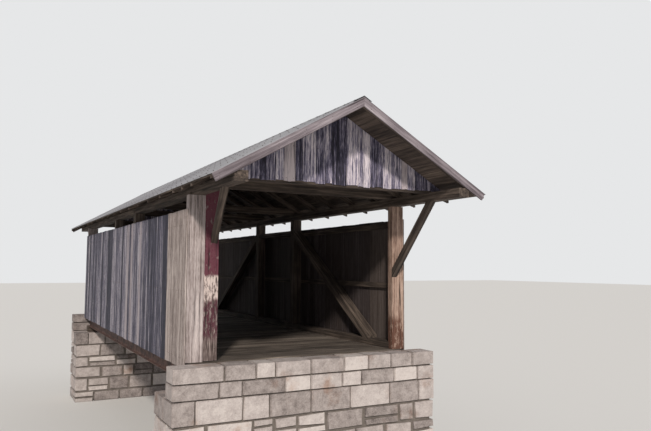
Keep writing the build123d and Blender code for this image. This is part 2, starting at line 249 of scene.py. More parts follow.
# Hewn and sawn frame timbers, kept dry under the roof: brown-grey, rough, with long drying checks.
# These tones are brown timber kept darker than it is, as painted shade of the bridge's covered inside.
frameTonesWithShade = ((0.0, "#2c2624"), (0.4, "#50463f"), (0.75, "#74675d"), (1.0, "#8f8176"))
braceTurn = (leanOf("main_brace_front_left") - quarterTurn, 0, 0)
kneeTurn = (quarterTurn - leanOf("knee_braces_rear"), 0, 0)
leaningGrain = Vector((-0.23, 1.12, 0.7)).rotation_difference(Vector((0, 0, 1))).to_euler()
frameWood = {}
for name, grain in (
        ("frame_up", {}), ("frame_along", {"turn": grainAlong}), ("frame_across", {"turn": grainAcross}),
        ("rafters", {"turn": (0, slopeTurn, 0), "mirrorAxis": 0}),
        ("braces", {"turn": braceTurn, "mirrorAxis": 1}),
        ("knees", {"turn": kneeTurn, "mirrorAxis": 1}),
        ("front_knees", {"turn": kneeTurn, "mirrorAxis": 1, "leftTurn": leaningGrain})):
    frameWood[name] = woodMaterial("sawn_oak_" + name, tones=frameTonesWithShade, **grain)
# The portal posts stand half in the weather. The right front one is browner, with a wet brown
# stain and softened grain at its foot.
postWood = woodMaterial(
    "weathered_oak_posts",
    tones=((0.0, "#564a47"), (0.35, "#958986"), (0.65, "#bbafad"), (1.0, "#d8ccc8")),
    lift=0.46, streakMm=24, streakStretch=60, fibreShare=0.6, fibreMm=6, fibreStretch=16)
stainedPost = woodMaterial(
    "stained_oak_post",
    tones=((0.0, "#48352d"), (0.35, "#8a7164"), (0.65, "#ae9485"), (1.0, "#cdb5a6")),
    lift=0.5, streakMm=28, streakStretch=50, fibreShare=0.6, fibreMm=7, fibreStretch=14, checkFrom=0.33,
    flakeMm=60, flakeStretch=3, stains=((2, 3.5, 3.34, "#5b382b", 0.85, 0.7, 0.44),))
# Planks worn by wheels, and boards that only the underside of the roof shows.
deckWood = woodMaterial(
    "worn_oak_deck",
    tones=((0.0, "#3a3430"), (0.45, "#675e56"), (0.8, "#8c8177"), (1.0, "#a59a8e")),
    lift=0.25, boardShare=0.45, turn=grainAcross)
roofWood = woodMaterial(
    "sawn_pine_roof_boards",
    tones=((0.0, "#2a2422"), (0.45, "#4d433d"), (0.8, "#6d6057"), (1.0, "#857769")),
    lift=0.25, boardShare=0.45, turn=grainAlong)
# Old oil paint on a pine board: oxide red above, a band of white, maroon below. All of it flakes
# off along the grain down to grey wood, and the foot of the board is bare.
oldPaint = woodMaterial(
    "flaking_oil_paint",
    tones=((0.0, "#332a28"), (0.35, "#665855"), (0.65, "#978a85"), (1.0, "#c4b8b1")),
    lift=0.45, streakShare=1.0, streakMm=20, streakStretch=14, patchMm=160, checkFrom=0.34,
    flakeMm=34, flakeStretch=3.5, stains=(
        (2, 2.86, 3.02, "#542d38", 0.93, 0.2, 0.48), (2, 3.53, 3.61, "#d6c6bf", 0.95, 0.22, 0.48),
        (2, 3.88, 3.93, "#5e2b3a", 0.96, 0.12, 0.4)))
print("wood materials made")


# Galvanised sheet: hot-dipped steel gone dull, pink-grey with dust, and rusting first where two
# sheets lap. Each sheet covers three ribs. A scale is in marks per metre.

zinc = {
    "tones": ((0.25, "#88868a"), (0.5, "#9f9ea1"), (0.75, "#b6b6b8")), "rust": "#75564a",
    "sheetRun": 0.915, "sheetShare": 0.22, "washScale": 5.0, "washStretch": 0.3, "washShare": 0.2,
    "dustScale": 1.1, "dustShare": 0.4, "spangleScale": 70.0, "spangleShare": 0.12,
    "lapReach": 0.05, "lapRust": 0.2, "lapLine": (0.002, 0.005), "lapShade": 0.45,
    "rustFrom": 0.62, "rustFull": 0.82, "rustShare": 0.75, "metallic": 0.8,
    "smooth": 0.38, "dustDull": 0.25, "rustDull": 0.3}


def sheetMetal(name, look):
    material, add = newMaterial(name)
    place = add("ShaderNodeTexCoord", {}).outputs["Object"]
    run = add("ShaderNodeVectorMath", {
        "operation": "MULTIPLY", 0: place, 1: (look["washStretch"], 1.0, look["washStretch"])})
    wash = add("ShaderNodeTexNoise", {
        "Scale": look["washScale"], "Detail": 5.0, "Roughness": 0.6, "Vector": run})
    dust = add("ShaderNodeTexNoise", {"Scale": look["dustScale"], "Detail": 6.0, "Vector": place})
    spangle = add("ShaderNodeTexVoronoi", {"Scale": look["spangleScale"], "Vector": place})

    # each sheet has its own tone, and a lap where it meets the next
    along = add("ShaderNodeSeparateXYZ", {0: place}).outputs["Y"]
    sheets = add("ShaderNodeMath", {"operation": "DIVIDE", 0: along, 1: look["sheetRun"]})
    sheets = add("ShaderNodeMath", {"operation": "ADD", 0: sheets, 1: 0.5})
    sheetNumber = add("ShaderNodeMath", {"operation": "FLOOR", 0: sheets})
    sheetTone = add("ShaderNodeTexWhiteNoise", {"noise_dimensions": "1D", "W": sheetNumber})
    fromLap = add("ShaderNodeMath", {"operation": "PINGPONG", 0: sheets, 1: 0.5})
    fromLap = add("ShaderNodeMath", {"operation": "MULTIPLY", 0: fromLap, 1: look["sheetRun"]})
    total = add("ShaderNodeMath", {"operation": "MULTIPLY", 0: dust, 1: look["dustShare"]})
    for mark, share in (
            (wash, "washShare"), (sheetTone, "sheetShare"), (spangle.outputs["Color"], "spangleShare")):
        total = add("ShaderNodeMath", {"operation": "MULTIPLY_ADD", 0: mark, 1: look[share], 2: total})
    zincTone = fillRamp(add("ShaderNodeValToRGB", {0: total}), look["tones"])

    lap = add("ShaderNodeMapRange", {
        **smoothly, 0: fromLap, 1: look["lapReach"], 2: 0.0, 3: 0.0, 4: look["lapRust"]})
    lap = add("ShaderNodeMath", {"operation": "ADD", 0: lap, 1: wash})
    rust = add("ShaderNodeMapRange", {
        **smoothly, 0: lap, 1: look["rustFrom"], 2: look["rustFull"], 3: 0.0, 4: look["rustShare"]})
    colour = add("ShaderNodeMix", {
        "data_type": "RGBA", 0: rust, 6: zincTone, 7: linearColour(look["rust"])}).outputs[2]
    start, end = look["lapLine"]
    edge = add("ShaderNodeMapRange", {0: fromLap, 1: start, 2: end, 3: look["lapShade"], 4: 1.0})
    colour = add("ShaderNodeMix", {**multiplied, 0: 1.0, 6: colour, 7: edge}).outputs[2]
    height = add("ShaderNodeMath", {"operation": "ADD", 0: dust, 1: edge})
    dull = add("ShaderNodeMath", {
        "operation": "MULTIPLY_ADD", 0: dust, 1: look["dustDull"], 2: look["smooth"]})
    dull = add("ShaderNodeMath", {"operation": "MULTIPLY_ADD", 0: rust, 1: look["rustDull"], 2: dull})
    metal = add("ShaderNodeMath", {
        "operation": "MULTIPLY_ADD", 0: rust, 1: -look["metallic"], 2: look["metallic"]})
    finishMaterial(add, colour, height, (0.3, 0.002), Roughness=dull, Metallic=metal)
    return material


# Rolled steel with no paint left: brown flaking rust with darker pits. The scale is in flakes per
# metre; the pits are nine times finer and count a fifth as much.
def rustySteel(name, tones, flakeScale):
    material, add = newMaterial(name)
    place = add("ShaderNodeTexCoord", {}).outputs["Object"]
    flake = add("ShaderNodeTexNoise", {
        "Scale": flakeScale, "Detail": 8.0, "Roughness": 0.65, "Vector": place})
    pits = add("ShaderNodeTexVoronoi", {"Scale": 9 * flakeScale, "Vector": place})
    total = add("ShaderNodeMath", {"operation": "MULTIPLY_ADD", 0: pits, 1: 0.2, 2: flake})
    rust = fillRamp(add("ShaderNodeValToRGB", {0: total}), tones)
    finishMaterial(add, rust, total, (0.5, 0.002), Roughness=0.8, Metallic=0.15)
    return material


# Rubble sandstone, split and hammered: pink-grey, coarse and matt, each stone a little different,
# with rusty veins, and damp dirt at its foot.
plainStone = {
    "veinMm": 600, "knobMm": 170, "chipMm": 22, "sandMm": 8, "facetMm": 60,
    "knobShare": 0.8, "chipShare": 0.5, "sandShare": 0.3, "facetShare": 0.7,
    "veinFrom": 0.55, "veinFull": 0.75, "veinTone": "#c39a7c",
    "dampFull": 0.1, "dampEnd": 0.55, "dampShade": 0.72, "dampRagged": 0.3}


def stoneMaterial(name, **changes):
    look = dict(plainStone, **changes)
    material, add = newMaterial(name)
    place = add("ShaderNodeTexCoord", {}).outputs["Object"]
    stoneTone = add("ShaderNodeAttribute", {"attribute_name": "tone"}).outputs["Fac"]
    total = add("ShaderNodeMath", {
        "operation": "MULTIPLY_ADD", 0: stoneTone, 1: look["stoneShare"], 2: look["lift"]})
    grains = {}
    for mark, detail, roughness in (
            ("vein", 6.0, 0.6), ("knob", 9.0, 0.7), ("chip", 5.0, 0.7), ("sand", 3.0, 0.6)):
        grains[mark] = add("ShaderNodeTexNoise", {
            "Scale": 1000 / look[mark + "Mm"], "Detail": detail, "Roughness": roughness, "Vector": place})
    for mark in ("knob", "chip", "sand"):
        total = add("ShaderNodeMath", {
            "operation": "MULTIPLY_ADD", 0: grains[mark], 1: look[mark + "Share"], 2: total})
    stone = fillRamp(add("ShaderNodeValToRGB", {0: total}), look["tones"])
    vein = add("ShaderNodeMapRange", {
        **smoothly, 0: grains["vein"], 1: look["veinFrom"], 2: look["veinFull"], 3: 0.0, 4: look["rust"]})
    rusty = add("ShaderNodeMix", {
        **multiplied, 0: vein, 6: stone, 7: linearColour(look["veinTone"])}).outputs[2]
    up = add("ShaderNodeSeparateXYZ", {0: place}).outputs["Z"]
    ragged = add("ShaderNodeMath", {
        "operation": "MULTIPLY_ADD", 0: grains["chip"], 1: look["dampRagged"], 2: up})
    damp = add("ShaderNodeMapRange", {
        **smoothly, 0: ragged, 1: look["dampFull"], 2: look["dampEnd"], 3: look["dampShade"], 4: 1.0})
    dirty = add("ShaderNodeMix", {**multiplied, 0: 1.0, 6: rusty, 7: damp}).outputs[2]
    facets = add("ShaderNodeTexVoronoi", {"Scale": 1000 / look["facetMm"], "Vector": place})
    height = add("ShaderNodeMath", {
        "operation": "MULTIPLY_ADD", 0: facets, 1: look["facetShare"], 2: grains["chip"]})
    finishMaterial(add, dirty, height, look["bump"], Roughness=0.9, IOR=1.5)
    return material


zincSheet = sheetMetal("weathered_galvanised_sheet", zinc)
rustedSteel = rustySteel("rusted_rolled_steel", (
    (0.3, "#241c1c"), (0.5, "#41322f"), (0.65, "#5f4841"), (0.85, "#775a50")), 7.0)
nailIron = rustySteel("rusted_nail_iron", ((0.35, "#1d1715"), (0.7, "#4b332a")), 60.0)
rubbleStone = stoneMaterial(
    "split_sandstone_rubble",
    tones=((0.2, "#675e5b"), (0.45, "#a09692"), (0.65, "#bdb3af"), (0.85, "#d3cac5")),
    lift=-0.5, stoneShare=0.55, rust=0.7, bump=(1.0, 0.012))
mortarCore = stoneMaterial(
    "lime_mortar", tones=((0.3, "#4d4743"), (0.8, "#7d756e")), lift=-0.2, stoneShare=0.3, rust=0.2,
    bump=(0.5, 0.012))
print("metal and stone materials made")


# A plain mesh out of one Geometry Nodes tree, with its named inputs set
def growMesh(name, tree, values, start=None):
    holder = addObject(name, start or bpy.data.meshes.new(name))
    modifier = holder.modifiers.new(name, "NODES")
    modifier.node_group = tree
    for item in tree.interface.items_tree:
        if item.in_out == "INPUT" and item.name in values:
            modifier[item.identifier] = values[item.name]
    bpy.context.view_layer.update()
    graph = bpy.context.evaluated_depsgraph_get()
    mesh = bpy.data.meshes.new_from_object(
        holder.evaluated_get(graph), preserve_all_data_layers=True, depsgraph=graph)
    bpy.data.objects.remove(holder)
    return mesh


# One named piece out of its meshes, in place of the frame's own pieces that it names
def keepPiece(name, meshes, slotName, *replaced):
    parts = [addObject(name, mesh) for mesh in meshes]
    if len(parts) > 1:
        with bpy.context.temp_override(active_object=parts[0], selected_editable_objects=parts):
            bpy.ops.object.join()
    piece = parts[0]
    piece.name = name
    piece.data.name = name
    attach(piece, body)
    if replaced:
        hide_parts(*replaced)


def newTree(name, inputs):
    tree = bpy.data.node_groups.new(name, "GeometryNodeTree")
    for kind, sockets in inputs.items():
        for socket in sockets:
            tree.interface.new_socket(socket, in_out="INPUT", socket_type="NodeSocket" + kind)
    tree.interface.new_socket("Mesh", in_out="OUTPUT", socket_type="NodeSocketGeometry")
    add = functools.partial(addNode, tree)
    return tree, add, add("NodeGroupInput", {}).outputs


# Boards in a row, with nails: one Geometry Nodes tree for walls, gables, deck and roof boarding.
# A row runs along local X, its boards stand along local Z and their faces look along local -Y.
# Settings with capitals are the tree's own inputs.

boardCut = {"waves": {"broken": (34.0, 34.0, 0.0), "bow": (2.2, 2.2, 0.9), "sway": (0.0, 0.0, 1.6)},
            "wavesApart": (3.71, 1.37, 2.93), "breakShare": 1.2, "swayShare": 1.2, "shortest": 0.004,
            "nailsApart": 0.31, "nailDepth": 0.006, "nailsBelowSlope": 0.05}


def boardTree():
    tree, add, given = newTree("boardRow", {
        "Float": ("Run", "Spread", "Gap", "Height", "Thickness", "Slope", "Ragged Low", "Ragged High",
                  "Warp", "Nail Low", "Nail Step", "Nail Head"),
        "Int": ("Count", "Nail Rows", "Seed"), "Material": ("Board", "Nail")})
    index = add("GeometryNodeInputIndex", {})
    number = add("GeometryNodeInputNamedAttribute", {"data_type": "FLOAT", "Name": "boardNumber"})
    whole = add("ShaderNodeMath", {"operation": "ADD", 0: number, 1: 0.25})  # safe to round down
    narrow = add("ShaderNodeMath", {"operation": "SUBTRACT", 0: 1.0, 1: given["Spread"]})
    wide = add("ShaderNodeMath", {"operation": "ADD", 0: 1.0, 1: given["Spread"]})
    place = add("GeometryNodeInputPosition", {})
    axes = add("ShaderNodeSeparateXYZ", {0: place}).outputs
    known = {socket.name: socket for socket in given}
    known.update(index=index, across=axes["X"], up=axes["Z"])

    # four draws for each board: its width, its tone, and how much its foot and its head have lost
    for step, (name, low, high, boardId) in enumerate((
            ("share", narrow, wide, index), ("tone", 0.0, 1.0, index),
            ("footLoss", 0.0, given["Ragged Low"], whole), ("headLoss", 0.0, given["Ragged High"], whole))):
        seed = add("ShaderNodeMath", {"operation": "ADD", 0: given["Seed"], 1: step})
        known[name] = add("FunctionNodeRandomValue", {
            "data_type": "FLOAT", 2: low, 3: high, "ID": boardId, "Seed": seed}).outputs[1]
    summed = add("GeometryNodeAccumulateField", {"data_type": "FLOAT", 0: known["share"]}).outputs
    known.update(allShares=summed["Total"], sharesBefore=summed["Trailing"])

    # noise for each board: along its broken ends, in its bow and in its sway
    flat = add("ShaderNodeCombineXYZ", {"X": axes["X"], "Z": axes["Z"]})
    away = add("ShaderNodeVectorMath", {"operation": "SCALE", 0: boardCut["wavesApart"], "Scale": number})
    own = add("ShaderNodeVectorMath", {"operation": "ADD", 0: flat, 1: away})
    for name, scale in boardCut["waves"].items():
        scaled = add("ShaderNodeVectorMath", {"operation": "MULTIPLY", 0: own, 1: scale})
        field = add("ShaderNodeTexNoise", {"Scale": 1.0, "Detail": 2.0, "Vector": scaled})
        known[name] = add("ShaderNodeMath", {"operation": "SUBTRACT", 0: field, 1: 0.5})

    # one sum in each row: where a board stands by its own width, how it is cut between its own foot
    # and head and under a gable's slope, where it takes nails, and how it bows and sways
    for name, operation, *terms in (
            ("joints", "SUBTRACT", "Count", 1.0), ("gaps", "MULTIPLY", "Gap", "joints"),
            ("timber", "SUBTRACT", "Run", "gaps"), ("scale", "DIVIDE", "timber", "allShares"),
            ("width", "MULTIPLY", "share", "scale"), ("gapsBefore", "MULTIPLY", "index", "Gap"),
            ("before", "MULTIPLY_ADD", "sharesBefore", "scale", "gapsBefore"),
            ("middle", "MULTIPLY_ADD", "width", 0.5, "before"),
            ("middle", "MULTIPLY_ADD", "Run", -0.5, "middle"),
            ("foot", "MULTIPLY", "broken", "Ragged Low"),
            ("foot", "MULTIPLY_ADD", "foot", boardCut["breakShare"], "footLoss"),
            ("foot", "MAXIMUM", "foot", 0.0), ("fromCentre", "ABSOLUTE", "across"),
            ("fall", "MULTIPLY", "Slope", "fromCentre"), ("limit", "SUBTRACT", "Height", "fall"),
            ("head", "SUBTRACT", "limit", "headLoss"), ("least", "ADD", "foot", boardCut["shortest"]),
            ("head", "MAXIMUM", "head", "least"), ("length", "SUBTRACT", "head", "foot"),
            ("upward", "DIVIDE", "up", "Height"), ("level", "MULTIPLY_ADD", "upward", "length", "foot"),
            ("rim", "SUBTRACT", "limit", boardCut["nailsBelowSlope"]),
            ("tooHigh", "GREATER_THAN", "up", "rim"), ("face", "MULTIPLY", "Thickness", -0.5),
            ("bow", "MULTIPLY", "bow", "Warp"), ("room", "MULTIPLY", "Gap", boardCut["swayShare"]),
            ("sway", "MULTIPLY", "sway", "room")):
        settings = {socket: known.get(term, term) for socket, term in enumerate(terms)}
        known[name] = add("ShaderNodeMath", dict(settings, operation=operation))

    # the boards themselves, one on each point
    spot = add("ShaderNodeCombineXYZ", {"X": known["middle"]})
    points = add("GeometryNodeMeshLine", {"Count": given["Count"], "Offset": (0, 0, 0)})
    points = add("GeometryNodeSetPosition", {"Geometry": points, "Position": spot})
    for name, value in (("boardNumber", index), ("tone", known["tone"])):
        points = add("GeometryNodeStoreNamedAttribute", {
            "data_type": "FLOAT", "Geometry": points, "Name": name, "Value": value})
    block = add("GeometryNodeMeshCube", {"Vertices X": 5, "Vertices Y": 2, "Vertices Z": 16})
    block = add("GeometryNodeTransform", {"Geometry": block, "Translation": (0, 0, 0.5)})
    size = add("ShaderNodeCombineXYZ", {"X": known["width"], "Y": given["Thickness"], "Z": given["Height"]})
    boards = add("GeometryNodeInstanceOnPoints", {"Points": points, "Instance": block, "Scale": size})
    boards = add("GeometryNodeRealizeInstances", {0: boards})
    cut = add("ShaderNodeCombineXYZ", {"X": axes["X"], "Y": axes["Y"], "Z": known["level"]})
    boards = add("GeometryNodeSetPosition", {"Geometry": boards, "Position": cut})
    boards = add("GeometryNodeSetMaterial", {"Geometry": boards, "Material": given["Board"]})

    # two nails where each board crosses a rail, and none above the slope
    pair = add("GeometryNodeJoinGeometry", {})
    for side in (-boardCut["nailsApart"], boardCut["nailsApart"]):
        first = add("ShaderNodeCombineXYZ", {"X": side, "Z": given["Nail Low"]})
        step = add("ShaderNodeCombineXYZ", {"Z": given["Nail Step"]})
        column = add("GeometryNodeMeshLine", {
            "Count": given["Nail Rows"], "Start Location": first, "Offset": step})
        tree.links.new(column.outputs[0], pair.inputs[0])
    apart = add("ShaderNodeCombineXYZ", {"X": known["width"], "Y": 1.0, "Z": 1.0})
    spots = add("GeometryNodeInstanceOnPoints", {"Points": points, "Instance": pair, "Scale": apart})
    spots = add("GeometryNodeRealizeInstances", {0: spots})
    spots = add("GeometryNodeDeleteGeometry", {
        "domain": "POINT", "Geometry": spots, "Selection": known["tooHigh"]})
    face = add("ShaderNodeCombineXYZ", {"Y": known["face"]})
    spots = add("GeometryNodeSetPosition", {"Geometry": spots, "Offset": face})
    nail = add("GeometryNodeMeshCylinder", {"Vertices": 8, "Radius": 1.0, "Depth": 1.0})
    nail = add("GeometryNodeTransform", {"Geometry": nail, "Rotation": (quarterTurn, 0, 0)})
    size = add("ShaderNodeCombineXYZ", {
        "X": given["Nail Head"], "Y": boardCut["nailDepth"], "Z": given["Nail Head"]})
    nails = add("GeometryNodeInstanceOnPoints", {"Points": spots, "Instance": nail, "Scale": size})
    nails = add("GeometryNodeRealizeInstances", {0: nails})
    nails = add("GeometryNodeSetMaterial", {"Geometry": nails, "Material": given["Nail"]})

    # each board bows and sways a little, and its nails go with it
    together = add("GeometryNodeJoinGeometry", {})
    for part in (nails, boards):
        tree.links.new(part.outputs[0], together.inputs[0])
    drift = add("ShaderNodeCombineXYZ", {"X": known["sway"], "Y": known["bow"]})
    bent = add("GeometryNodeSetPosition", {"Geometry": together, "Offset": drift})
    add("NodeGroupOutput", {0: bent})
    return tree


boardRow = boardTree()


def layBoards(look, size, seed, material, transform, slope=0.0):
    run, thickness, height = size
    values = dict(look, Run=run, Count=max(1, round(run / look["boardWidth"])), Height=height, Slope=slope,
                  Thickness=thickness - look["Warp"] / 2, Seed=seed, Board=material, Nail=nailIron)
    mesh = growMesh("boards", boardRow, values)
    mesh.transform(transform)
    return mesh


# Side walls: upright boards nailed to the girts, with thin gaps and a worn bottom edge. The end
# boards beside the portals are wider, and the front ones lighter.

siding = {"boardWidth": 0.205, "Spread": 0.32, "Gap": 0.006, "Ragged Low": 0.02, "Ragged High": 0.012,
          "Warp": 0.006, "Nail Head": 0.005, "Nail Low": 0.16, "Nail Step": 1.05, "Nail Rows": 3}
cornerBoards = dict(siding, boardWidth=0.23, Spread=0.2)


def wallBoards(low, high, side, seed, material, look):
    x, y, _ = (low + high) / 2
    place = placeTransform((x, y, low.z), (0, side, 0), (-side, 0, 0), (0, 0, 1))
    thickness, run, height = high - low
    return layBoards(look, (run, thickness, height), seed, material, place)


for sideName, side, seed in (("left", -1, 221), ("right", 1, 184)):
    low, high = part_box("siding_" + sideName)
    wall = wallBoards(low, high, side, seed, greySiding, siding)
    keepPiece("siding_boards_" + sideName, [wall], "grey_siding", "siding_" + sideName)
    endLow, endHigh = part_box("end_boards_" + sideName)
    front = wallBoards(
        endLow, Vector((endHigh.x, low.y, endHigh.z)), side, 31 + side, tanBoards, cornerBoards)
    rear = wallBoards(
        Vector((endLow.x, high.y, endLow.z)), endHigh, side, 41 + side, greySiding, cornerBoards)
    keepPiece("corner_boards_" + sideName, [front, rear], "tan_boards", "end_boards_" + sideName)
print("side walls boarded")


# The painted board stands beside the left portal post, slightly cupped and chipped at its ends

painted = {**siding, "Spread": 0.0, "Gap": 0.002, "Warp": 0.004, "Ragged Low": 0.012,
           "Ragged High": 0.02, "Nail Low": 0.2, "Nail Step": 0.75}
low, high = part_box("painted_board")
x, y, _ = (low + high) / 2
size = high - low - Vector((2 * painted["Gap"], 0, 0))
board = layBoards(painted, size, 51, oldPaint, Matrix.Translation((x, y, low.z)))
keepPiece("old_painted_board", [board], "old_paint", "painted_board")
print("painted board stands")


# Gable walls: boards cut to the roof, rotten and uneven along the bottom

gable = {"boardWidth": 0.15, "Spread": 0.45, "Gap": 0.005, "Ragged Low": 0.035, "Ragged High": 0.004,
         "Warp": 0.005, "Nail Head": 0.005, "Nail Low": 0.06, "Nail Step": 0.5, "Nail Rows": 3}
for endName, facing, seed in (("front", -1, 119), ("rear", 1, 210)):
    low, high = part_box("gable_wall_" + endName)
    eave = max(v.z for v in cornersOf("gable_wall_" + endName) if abs(v.x) > high.x - nearly)
    place = placeTransform((0, (low.y + high.y) / 2, low.z), (-facing, 0, 0), (0, -facing, 0), (0, 0, 1))
    wall = layBoards(gable, high - low, seed, gableBoards, place, slope=(high.z - eave) / high.x)
    keepPiece("gable_boards_" + endName, [wall], "gable_boards", "gable_wall_" + endName)
print("gables boarded")


# Deck planks lie across the beams, spiked at both sides

deck = {"boardWidth": 0.24, "Spread": 0.12, "Gap": 0.006, "Ragged Low": 0.01, "Ragged High": 0.01,
        "Warp": 0.004, "Nail Head": 0.009, "Nail Low": 0.3, "Nail Rows": 4}
low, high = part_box("deck")
reach, run, thickness = high - low
_, y, z = (low + high) / 2
deck["Nail Step"] = (reach - 2 * deck["Nail Low"]) / (deck["Nail Rows"] - 1)
place = placeTransform((high.x, y, z), (0, 1, 0), (0, 0, -1), (-1, 0, 0))
planks = layBoards(deck, (run, thickness, reach), 71, deckWood, place)
keepPiece("deck_boards", [planks], "deck_planks", "deck")
print("deck laid")


# Roof boarding: long boards side by side up each slope, butted over rafters in three lengths. The
# sheets hide its nails.

roofing = {"boardWidth": 0.19, "Spread": 0.25, "Gap": 0.004, "Ragged Low": 0.006, "Ragged High": 0.006,
           "Warp": 0.001, "Nail Rows": 0, "inset": 0.008, "lengths": 3}
for sideName, side in sides:
    low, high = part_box("roof_boards_" + sideName)
    corners = cornersOf("roof_boards_" + sideName)
    near = [v for v in corners if abs(v.x) < nearly]
    far = [v for v in corners if abs(v.x) > nearly]
    top = Vector((side * roofing["inset"], 0, sum(v.z for v in near) / len(near)))
    eave = Vector((far[0].x - side * roofing["inset"], 0, sum(v.z for v in far) / len(far)))
    uphill = (top - eave).normalized()
    outward = Vector((side * uphill.z, 0, abs(uphill.x)))
    thickness = (max(v.z for v in near) - min(v.z for v in near)) * abs(uphill.x)
    run = high.y - low.y
    length = run / roofing["lengths"]
    rows = []
    for number in range(roofing["lengths"]):
        start = (top + eave) / 2 + Vector((0, side * (number * length - run / 2), 0))
        place = placeTransform(start, uphill, outward, (0, side, 0))
        size = ((top - eave).length, thickness - roofing["Warp"] / 2, length)
        rows.append(layBoards(roofing, size, 81 + number + 10 * side, roofWood, place))
    keepPiece("roof_boarding_" + sideName, rows, "roof_timber", "roof_boards_" + sideName)
print("roof boarded")


# Fasteners: one Geometry Nodes tree sets a head on every given spot, looking out of the surface

def fastenerTree():
    tree, add, given = newTree("fastenerSet", {
        "Geometry": ("Spots",), "Float": ("Radius", "Stand Out", "Sunk"), "Int": ("Sides",),
        "Material": ("Metal",)})
    depth = add("ShaderNodeMath", {"operation": "ADD", 0: given["Stand Out"], 1: given["Sunk"]})
    head = add("GeometryNodeMeshCylinder", {
        "Vertices": given["Sides"], "Radius": given["Radius"], "Depth": depth})
    lift = add("ShaderNodeMath", {"operation": "SUBTRACT", 0: given["Stand Out"], 1: given["Sunk"]})
    lift = add("ShaderNodeMath", {"operation": "MULTIPLY", 0: lift, 1: 0.5})
    upright = add("ShaderNodeCombineXYZ", {"Z": lift})
    head = add("GeometryNodeTransform", {"Geometry": head, "Translation": upright})
    facing = add("GeometryNodeInputNamedAttribute", {"data_type": "FLOAT_VECTOR", "Name": "facing"})
    turned = add("FunctionNodeAlignRotationToVector", {"axis": "Z", "Vector": facing})
    heads = add("GeometryNodeInstanceOnPoints", {
        "Points": given["Spots"], "Instance": head, "Rotation": turned})
    heads = add("GeometryNodeRealizeInstances", {0: heads})
    heads = add("GeometryNodeSetMaterial", {"Geometry": heads, "Material": given["Metal"]})
    add("NodeGroupOutput", {0: heads})
    return tree


fastenerSet = fastenerTree()


def setFasteners(name, spots, look, slotName):
    points = bpy.data.meshes.new(name + "_spots")
    points.from_pydata([spot for spot, _ in spots], [], [])
    facing = points.attributes.new("facing", "FLOAT_VECTOR", "POINT")
    facing.data.foreach_set("vector", [c for _, direction in spots for c in direction])
    keepPiece(name, [growMesh(name, fastenerSet, look, points)], slotName)


# Roof screws stand on every rib of the sheets, and along both edges of the ridge cap
roofScrews = {"Radius": 0.0075, "Stand Out": 0.005, "Sunk": 0.007, "Sides": 8, "Metal": nailIron,
              "first": 0.22, "last": 2.27, "rows": 6, "cap": 0.1, "sink": 0.002}
rowStep = (roofScrews["last"] - roofScrews["first"]) / (roofScrews["rows"] - 1)
spots = []
for sideName, side in sides:
    outward = Vector((side * math.sin(roofAngle), 0, math.cos(roofAngle)))
    corners = cornersOf("roof_metal_" + sideName)
    ribTop = max(v.dot(outward) for v in corners)
    ribs = sorted({round(v.y, 3) for v in corners if v.dot(outward) > ribTop - nearly})
    capTop = max(v.dot(outward) for v in cornersOf("ridge_cap") if v.x * side > nearly)
    rows = [(roofScrews["first"] + row * rowStep, ribTop - roofScrews["sink"])
            for row in range(roofScrews["rows"])]
    for y, (out, surface) in itertools.product(ribs, rows + [(roofScrews["cap"], capTop)]):
        x = side * out
        spots.append((Vector((x, y, (surface - x * outward.x) / outward.z)), outward))
setFasteners("roof_screws", spots, roofScrews, "rusted_steel")
print("roof screwed down:", len(spots))


# Oak pegs lock the tenons at the heads and feet of the posts, driven through from both faces
pegs = {"Radius": 0.013, "Stand Out": 0.012, "Sunk": 0.03, "Sides": 12, "Metal": frameWood["frame_across"],
        "spread": 0.03, "fromShoulder": 0.036}
spots = []
for sideName, endName in itertools.product(("left", "right"), ("front", "rear")):
    plateLow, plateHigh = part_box("top_plate_" + sideName)
    headLevel = plateLow.z + pegs["fromShoulder"]
    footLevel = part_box("bottom_chord_" + sideName)[1].z - pegs["fromShoulder"]
    portal, queen = (sum(corner.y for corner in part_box(post + endName + "_" + sideName)) / 2
                     for post in ("portal_post_", "queen_post_"))
    for face, across in ((plateLow.x, -1), (plateHigh.x, 1)):
        spots.append((Vector((face, portal, headLevel)), Vector((across, 0, 0))))
        for shift, level in itertools.product((-pegs["spread"], pegs["spread"]), (headLevel, footLevel)):
            spots.append((Vector((face, queen + shift, level)), Vector((across, 0, 0))))
setFasteners("oak_pegs", spots, pegs, "truss_timber")
print("pegs driven:", len(spots))


# Cut nails hold the barge boards to the verge rafters
bargeNails = {"Radius": 0.005, "Stand Out": 0.001, "Sunk": 0.006, "Sides": 8, "Metal": nailIron,
              "first": 0.12, "step": 0.42, "count": 6, "drops": (0.055, 0.105)}
spots = []
for endName, end in (("front", -1), ("rear", 1)):
    low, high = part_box("barge_boards_" + endName)
    face = low.y if end < 0 else high.y
    for side, number, drop in itertools.product((-1, 1), range(bargeNails["count"]), bargeNails["drops"]):
        out = bargeNails["first"] + number * bargeNails["step"]
        level = high.z - out * math.tan(roofAngle) - drop
        spots.append((Vector((side * out, face, level)), Vector((0, end, 0))))
setFasteners("barge_nails", spots, bargeNails, "rusted_steel")
print("barge boards nailed")


# Abutments: split stones in rough courses round a mortar core, with flatter stones under the beams.
# A stone bulges and chips by noise, in marks per metre, and by no more than its work is rough.

